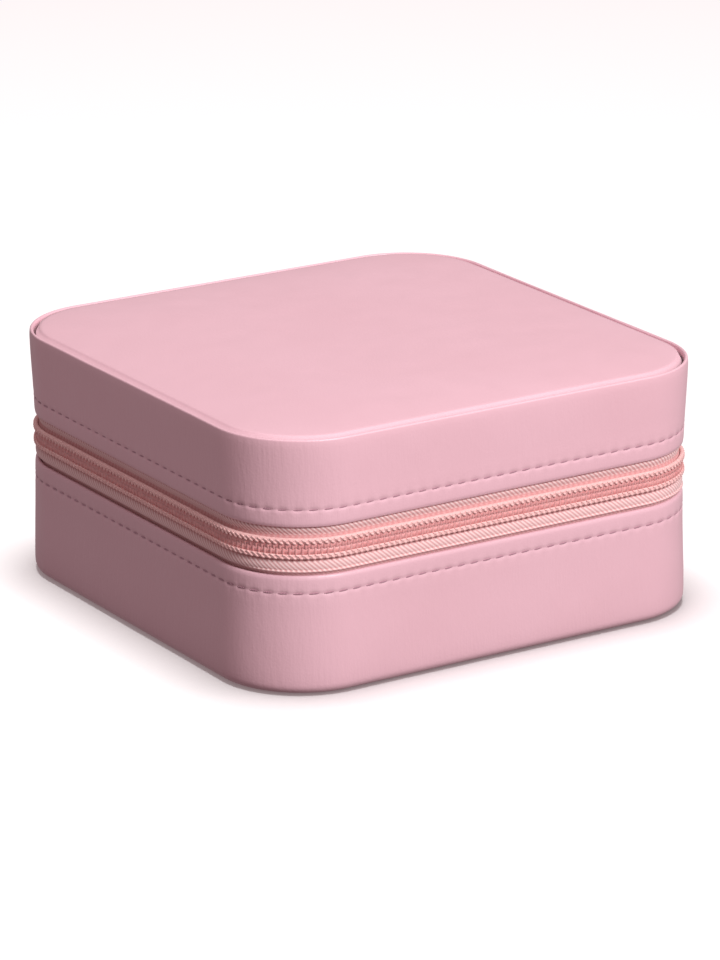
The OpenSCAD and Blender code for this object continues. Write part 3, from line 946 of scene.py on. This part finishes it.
def padded_top(depth, x, y):
    """Height of the top panel: a steep shoulder out of the groove, a soft swell, then a slow crown."""
    depth = max(depth, 0)
    rise = 1 - math.exp(-depth / shoulder)
    puff = 1 - math.exp(-depth / swell)
    crown = (1 - (x / half) ** 4) * (1 - (y / half) ** 4)
    ripple = 0.04 * mm * noise.noise((x * 60, y * 60, 1.5)) + 0.03 * mm * noise.noise((x * 150, y * 150, 4))
    padding = shoulder_high * rise + (swell_high + ripple) * puff + crown_high * crown
    return case_h - groove_drop + padding


bm = plan_slab(top_in - rim_flare - 0.05 * mm, top_low.z, padded_top, 0.6 * mm)
top_panel = finish_piece("top_panel", bm, "lid", "leather", panel_leather, "top_leather_panel")

# ---- Lid lining and inner panel ----
# Velvet on the lid's walls, and a velvet-covered board that closes the lid's inside and
# carries the pocket and the straps.
line_wall("lid_wall_lining", "lid", "lid_lining", False)
board_low, board_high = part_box("lid_inner_panel")
bm = plan_slab(
    fit_in, board_high.z,
    lambda depth, x, y:
        board_low.z + rolled_edge(depth, 0.9 * mm) + 0.06 * mm * noise.noise((x * 110, y * 110, 8)),
    1.5 * mm,
)
inner_board = finish_piece("lid_inner_board", bm, "lid", "velvet", velvet, "lid_inner_panel")

# ---- Pocket ----
# A gathered velvet pocket sewn to the board at its foot and sides. Elastic in the hem
# draws its mouth into small folds.
pocket_low, pocket_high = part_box("pocket")
pocket_finish = blush_velvet("velvet_pocket", (0.77, 0.61, 0.57))
pocket_w = pocket_high.x - pocket_low.x
pocket_l = pocket_high.y - pocket_low.y
pocket_drop = pocket_high.z - pocket_low.z
fold_count = 17


def pocket_depth(u, v):
    """How far the pocket stands off the board: u runs across from -1 to 1, v from mouth to foot."""
    side = 1 - abs(u) ** 5
    foot = 1 - v ** 3
    fold = math.sin(math.pi * fold_count * u + 0.6 * math.sin(9 * u)) * (1 - 0.75 * v)
    belly = (pocket_drop - 1.2 * mm) * side * foot * (1 - 0.12 * v)
    return belly + 0.75 * mm * fold * side * min(1, 4 * (1 - v))


bm = bmesh.new()
bmesh.ops.create_grid(bm, x_segments=170, y_segments=40, size=0.5)
for v in bm.verts:
    u = 2 * v.co.x
    w = v.co.y + 0.5
    depth = pocket_depth(u, w)
    stand = max(depth, 0) + 0.15 * mm
    v.co = Vector((u * pocket_w / 2, pocket_low.y + w * pocket_l, pocket_high.z - stand))
bmesh.ops.recalc_face_normals(bm, faces=bm.faces)
bmesh.ops.solidify(bm, geom=bm.faces[:], thickness=0.4 * mm)
bmesh.ops.recalc_face_normals(bm, faces=bm.faces)
pocket = finish_piece("gathered_pocket", bm, "lid", "velvet", pocket_finish, "pocket")
hem_low, hem_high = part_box("pocket_elastic")
bm = soft_block(hem_low, hem_high, 0.5 * mm, segments=3)
length_edges = [e for e in bm.edges if abs(e.verts[0].co.x - e.verts[1].co.x) > pocket_w / 2]
bmesh.ops.subdivide_edges(bm, edges=length_edges, cuts=160, use_grid_fill=True)
for v in bm.verts:
    u = v.co.x / (pocket_w / 2)
    v.co.z += 0.35 * mm * math.sin(math.pi * fold_count * 2 * u) * (1 - abs(u) ** 5)
    v.co.z += (pocket_high.z - hem_high.z + 0.2 * mm) * abs(u) ** 9
hem = finish_piece("pocket_hem", bm, "lid", "velvet", pocket_finish, "pocket_elastic")

# ---- Snap straps ----
# Three leather tabs that hold chains. A rail sewn to the board holds their heels, and
# each closes on the board with a domed snap.
rail_low, rail_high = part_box("strap_rail")
bm = soft_block(rail_low, rail_high, 0.45 * mm, segments=3)
finish_piece("rail_strip", bm, "lid", "leather", panel_leather, "strap_rail")
rail_stitches = bmesh.new()
rail_count = int((rail_high.x - rail_low.x - 3 * mm) / (2.4 * mm))
for n in range(rail_count):
    x = (n - (rail_count - 1) / 2) * 2.4 * mm
    spot = Matrix.Translation((x, (rail_low.y + rail_high.y) / 2, rail_low.z - 0.02 * mm))
    add_bead(rail_stitches, spot, (0.8 * mm, 0.2 * mm, 0.16 * mm))
finish_piece("rail_stitches", rail_stitches, "lid", "thread", thread_with_painted_shade)


def spin_up(points, centre, steps=40):
    """Turns a profile of (radius, height) points about an upright line."""
    bm = bmesh.new()
    line = [bm.verts.new((centre.x + r, centre.y, centre.z + z)) for r, z in points]
    edges = [bm.edges.new(pair) for pair in zip(line, line[1:])]
    bmesh.ops.spin(
        bm, geom=line + edges, cent=centre, axis=(0, 0, 1), dvec=(0, 0, 0),
        angle=math.tau, steps=steps, use_merge=True, use_duplicate=False,
    )
    bmesh.ops.remove_doubles(bm, verts=bm.verts, dist=0.001 * mm)
    bmesh.ops.recalc_face_normals(bm, faces=bm.faces)
    return bm


for n in (1, 2, 3):
    low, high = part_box(f"strap_{n}")
    bm = bmesh.new()
    plain_block(bm, low, high)
    tip = [
        e for e in bm.edges
        if min(v.co.y for v in e.verts) > high.y - 0.1 * mm
        and abs(e.verts[0].co.z - e.verts[1].co.z) > 0.1 * mm
    ]
    round_edges(bm, tip, 4.2 * mm, 9)
    rim = [e for e in bm.edges if e.calc_face_angle(0) > 1.2]
    round_edges(bm, rim, 0.3 * mm, 3)
    finish_piece(f"strap_tab_{n}", bm, f"strap_{n}", "leather", panel_leather, f"strap_{n}")
    # Stitches along both edges of the tab
    bm = bmesh.new()
    for side in (-1, 1):
        for k in range(4):
            x = (low.x + high.x) / 2 + side * 3.6 * mm
            y = low.y + (1.6 + 1.9 * k) * mm
            add_bead(bm, Matrix.Translation((x, y, low.z - 0.02 * mm)), (0.17 * mm, 0.7 * mm, 0.14 * mm))
    finish_piece(f"strap_stitches_{n}", bm, f"strap_{n}", "thread", thread_with_painted_shade)
    low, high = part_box(f"snap_cap_{n}")
    centre = Vector(((low.x + high.x) / 2, (low.y + high.y) / 2, high.z))
    r = (high.x - low.x) / 2
    t = high.z - low.z
    dome = [(r * 0.999, -0.02 * mm), (r, -0.25 * t), (r * 0.96, -0.45 * t), (r * 0.84, -0.52 * t)]
    dome += [(r * 0.78, -0.46 * t)]
    dome += [
        (r * 0.76 * math.cos(a), -0.46 * t - 0.54 * t * math.sin(a))
        for a in [math.pi / 2 * k / 8 for k in range(9)]
    ]
    bm = spin_up([(0, -0.02 * mm)] + dome, centre)
    finish_piece(f"snap_cap_dome_{n}", bm, f"strap_{n}", "metal", gold, f"snap_cap_{n}")
    low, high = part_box(f"snap_stud_{n}")
    centre = Vector(((low.x + high.x) / 2, (low.y + high.y) / 2, high.z))
    r = (high.x - low.x) / 2
    t = high.z - low.z
    stud = [(0, 0), (r, 0), (r, -0.7 * t), (r * 0.9, -t)]
    stud += [(r * 0.55, -t), (r * 0.45, -0.6 * t), (0, -0.6 * t)]
    bm = spin_up(stud, centre)
    finish_piece(f"snap_socket_{n}", bm, "lid", "metal", gold, f"snap_stud_{n}")

# ---- Zip slider ----
# A die-cast rose-gold slider: an outer plate with turned-in flanges, an inner plate
# behind the chain, and a crown that holds the pull.
slider_low, slider_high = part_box("slider_body")
slider_y = (slider_low.y + slider_high.y) / 2
slider_half = (slider_high.y - slider_low.y) / 2
plate_x = half + 0.9 * mm
plate_top = half + 2.0 * mm


def cast_plate(bm, low, high, corner, edge, tail_pinch):
    """Adds a plate facing out, with round corners, soft edges and a narrower tail."""
    made = plain_block(bm, low, high)
    mid_z = (low.z + high.z) / 2
    for v in made:
        if v.co.y < (low.y + high.y) / 2:
            v.co.z = mid_z + (v.co.z - mid_z) * tail_pinch
    edges = {e for v in made for e in v.link_edges}
    through = [e for e in edges if abs(e.verts[0].co.x - e.verts[1].co.x) > 0.1 * mm]
    made = round_edges(bm, through, corner, 6)["verts"]
    linked = {e for v in made for e in v.link_edges}
    rim = [e for e in linked if e.calc_face_angle(0) > 1.2]
    round_edges(bm, rim, edge, 3)


bm = bmesh.new()
cast_plate(
    bm, Vector((plate_x, slider_low.y, slider_low.z)), Vector((plate_top, slider_high.y, slider_high.z)),
    2.2 * mm, 0.3 * mm, 0.8,
)
cast_plate(
    bm, Vector((slider_low.x, slider_low.y + 0.5 * mm, zip_z - 2.8 * mm)),
    Vector((slider_low.x + 0.8 * mm, slider_high.y - 0.5 * mm, zip_z + 2.8 * mm)), 1.5 * mm, 0.2 * mm, 0.9,
)
add_block(
    bm, Vector((plate_x - 1.2 * mm, slider_y - slider_half + 2.4 * mm, slider_low.z + 0.6 * mm)),
    Vector((plate_x + 0.3 * mm, slider_y + slider_half - 2.6 * mm, slider_low.z + 1.4 * mm)), 0.2 * mm, 2,
)
add_block(
    bm, Vector((plate_x - 0.2 * mm, slider_y - slider_half + 2.4 * mm, slider_high.z - 1.4 * mm)),
    Vector((plate_x + 0.3 * mm, slider_y + slider_half - 2.6 * mm, slider_high.z - 0.6 * mm)), 0.1 * mm, 2,
)
add_block(
    bm, Vector((slider_low.x + 0.3 * mm, slider_y + 1.5 * mm, zip_z - 0.1 * mm)),
    Vector((plate_top - 0.5 * mm, slider_y + 4.5 * mm, zip_z + 0.1 * mm)), 0.04 * mm, 1,
)
# The crown: a bar bent up from the plate, along it and down again
crown_t = 0.7 * mm
crown_w = 1.8 * mm
crown_half = 3.6 * mm
bend_r = 0.7 * mm
crown_base = plate_top - 0.2 * mm
crown_rise = slider_high.x - crown_base - bend_r - crown_t
section = bmesh.ops.create_grid(bm, x_segments=1, y_segments=1, size=0.5)["verts"]
bmesh.ops.rotate(bm, verts=section, cent=(0, 0, 0), matrix=Matrix.Rotation(math.pi / 2, 3, "Y"))
bmesh.ops.scale(bm, verts=section, vec=(1, crown_t, crown_w))
bmesh.ops.translate(bm, verts=section, vec=(crown_base, slider_y - crown_half + crown_t / 2, zip_z))
face = [f for f in section[0].link_faces]


def bend(bm, face, centre, turn):
    parts = face[:] + list(face[0].edges) + list(face[0].verts)
    made = bmesh.ops.spin(
        bm, geom=parts, cent=centre, axis=(0, 0, 1), dvec=(0, 0, 0), angle=turn, steps=5,
        use_merge=False, use_duplicate=False,
    )["geom_last"]
    return [g for g in made if isinstance(g, bmesh.types.BMFace)]


def push_face(bm, face, way):
    made = bmesh.ops.extrude_face_region(bm, geom=face)["geom"]
    bmesh.ops.translate(bm, verts=new_points(made), vec=way)
    return [g for g in made if isinstance(g, bmesh.types.BMFace)]


face = push_face(bm, face, (crown_rise, 0, 0))
near_centre = Vector((crown_base + crown_rise, slider_y - crown_half + crown_t + bend_r, zip_z))
face = bend(bm, face, near_centre, -math.pi / 2)
face = push_face(bm, face, (0, 2 * (crown_half - crown_t - bend_r), 0))
far_centre = near_centre + Vector((0, 2 * (crown_half - crown_t - bend_r), 0))
face = bend(bm, face, far_centre, -math.pi / 2)
push_face(bm, face, (-crown_rise, 0, 0))
bmesh.ops.recalc_face_normals(bm, faces=bm.faces)
finish_piece("slider", bm, "slider", "metal", gold, "slider_body")

# ---- Zip pull ----
# A flat cast tab, rounded at its tip, with an eye at its neck that hangs on the crown's bar.
# It is cast in the same rose gold as the slider.
pull_low, pull_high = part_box("slider_pull")
eye_half = 1.3 * mm
neck_half = 2.9 * mm
rows = (pull_low.y, pull_low.y + 9 * mm, slider_y - 5 * mm, slider_y - 0.5 * mm, pull_high.y)
pull_half = pull_high.z - zip_z
widths = (pull_half, pull_half - 0.1 * mm, neck_half + 0.1 * mm, neck_half, neck_half - 0.2 * mm)
bm = bmesh.new()
made = bmesh.ops.create_grid(bm, x_segments=4, y_segments=3, size=1)["verts"]
for v in made:
    column = round((v.co.x + 1) * 2)
    row = round((v.co.y + 1) * 1.5)
    z = (-widths[column], -eye_half, eye_half, widths[column])[row]
    v.co = Vector((pull_low.x, rows[column], zip_z + z))
eye = []
for face in bm.faces:
    middle = face.calc_center_median()
    if abs(middle.z - zip_z) < 0.1 * mm and slider_y - 5 * mm < middle.y < slider_y - 0.5 * mm:
        eye.append(face)
bmesh.ops.delete(bm, geom=eye, context="FACES")
top = bmesh.ops.extrude_face_region(bm, geom=bm.faces[:])["geom"]
bmesh.ops.translate(bm, verts=new_points(top), vec=(pull_high.x - pull_low.x, 0, 0))
bmesh.ops.recalc_face_normals(bm, faces=bm.faces)


def face_corners(at_end):
    """The upright corners of the tab whose ends all pass the test."""
    return [
        e for e in bm.edges
        if all(at_end(v.co.y) for v in e.verts) and abs(e.verts[0].co.x - e.verts[1].co.x) > 0.1 * mm
        and abs(e.verts[0].co.z - zip_z) > 2 * mm
    ]


round_edges(bm, face_corners(lambda y: y < pull_low.y + 0.1 * mm), 2.1 * mm, 7)
round_edges(bm, face_corners(lambda y: y > pull_high.y - 0.1 * mm), 0.5 * mm, 4)
round_edges(bm, [e for e in bm.edges if e.calc_face_angle(0) > 1.0], 0.28 * mm, 3)
bmesh.ops.recalc_face_normals(bm, faces=bm.faces)
finish_piece("pull_tab", bm, "pull", "metal", gold, "slider_pull")

# ---- Floor and light ----
# A plain white floor with a light of its own, kept from throwing light up at the case, and
# a dark card hidden just under it that keeps the case's foot dark. A soft key stands almost
# square to the front, a weaker light hangs overhead, and pink-white fill comes from all round.
def lay_sheet(name, reach, z, finish):
    """A square sheet of the set, reaching that far from the middle each way."""
    bm = bmesh.new()
    bmesh.ops.create_grid(bm, x_segments=1, y_segments=1, size=reach)
    mesh = kept_mesh(name, bm)
    bm.free()
    mesh.materials.append(finish)
    sheet = bpy.data.objects.new(name, mesh)
    sheet.location.z = z
    sheet.visible_glossy = False
    scene.collection.objects.link(sheet)
    return sheet


floor_finish, tree, shader = new_material(
    "floor", (0.905, 0.885, 0.885), 0.8,
    Specular_IOR_Level=0.0, Emission_Color=(1, 1, 1, 1), Emission_Strength=0.1,
)
floor = lay_sheet("floor", 6, 0, floor_finish)
floor.visible_diffuse = False
# The card glows faintly mauve. This is painted light on the case's foot, which tints its painted shade
# mauve as a shadowed floor's bounce would. The card is hidden from the camera and casts no shadow.
under_finish, tree, shader = new_material(
    "under_shade", (0.02, 0.02, 0.02), 1.0, Emission_Color=(1, 0.66, 0.71, 1), Emission_Strength=0.15,
)
under_shade = lay_sheet("under_shade", half + 6 * mm, -0.1 * mm, under_finish)
under_shade.visible_camera = False
under_shade.visible_shadow = False
not_the_floor = bpy.data.collections.new("not_the_floor")
not_the_floor.objects.link(floor)
not_the_floor.collection_objects[0].light_linking.link_state = "EXCLUDE"


def soft_light(name, place, size, power, aim=(0, 0, 0.03)):
    light = bpy.data.objects.new(name, bpy.data.lights.new(name, "AREA"))
    light.data.shape = "RECTANGLE"
    light.data.size, light.data.size_y = size
    light.data.energy = power
    light.location = place
    light.rotation_euler = (Vector(place) - Vector(aim)).to_track_quat("Z", "Y").to_euler()
    scene.collection.objects.link(light)
    return light


key = soft_light("key", (0.2, -1.45, 1.2), (0.6, 1.0), 38.2)
overhead = soft_light("overhead", (0.1, 0.1, 1.5), (1.6, 1.6), 8.8)
for light in (key, overhead):
    light.light_linking.receiver_collection = not_the_floor
only_the_floor = bpy.data.collections.new("only_the_floor")
only_the_floor.objects.link(floor)
wash = soft_light("floor_wash", (0, 0, 1.5), (0.52, 0.52), 20)
wash.light_linking.receiver_collection = only_the_floor
world = bpy.data.worlds.new("studio")
world.use_nodes = True
world.node_tree.nodes["Background"].inputs["Color"].default_value = (1, 0.81, 0.825, 1)
world.node_tree.nodes["Background"].inputs["Strength"].default_value = 0.304
scene.world = world
scene.view_settings.view_transform = "Standard"
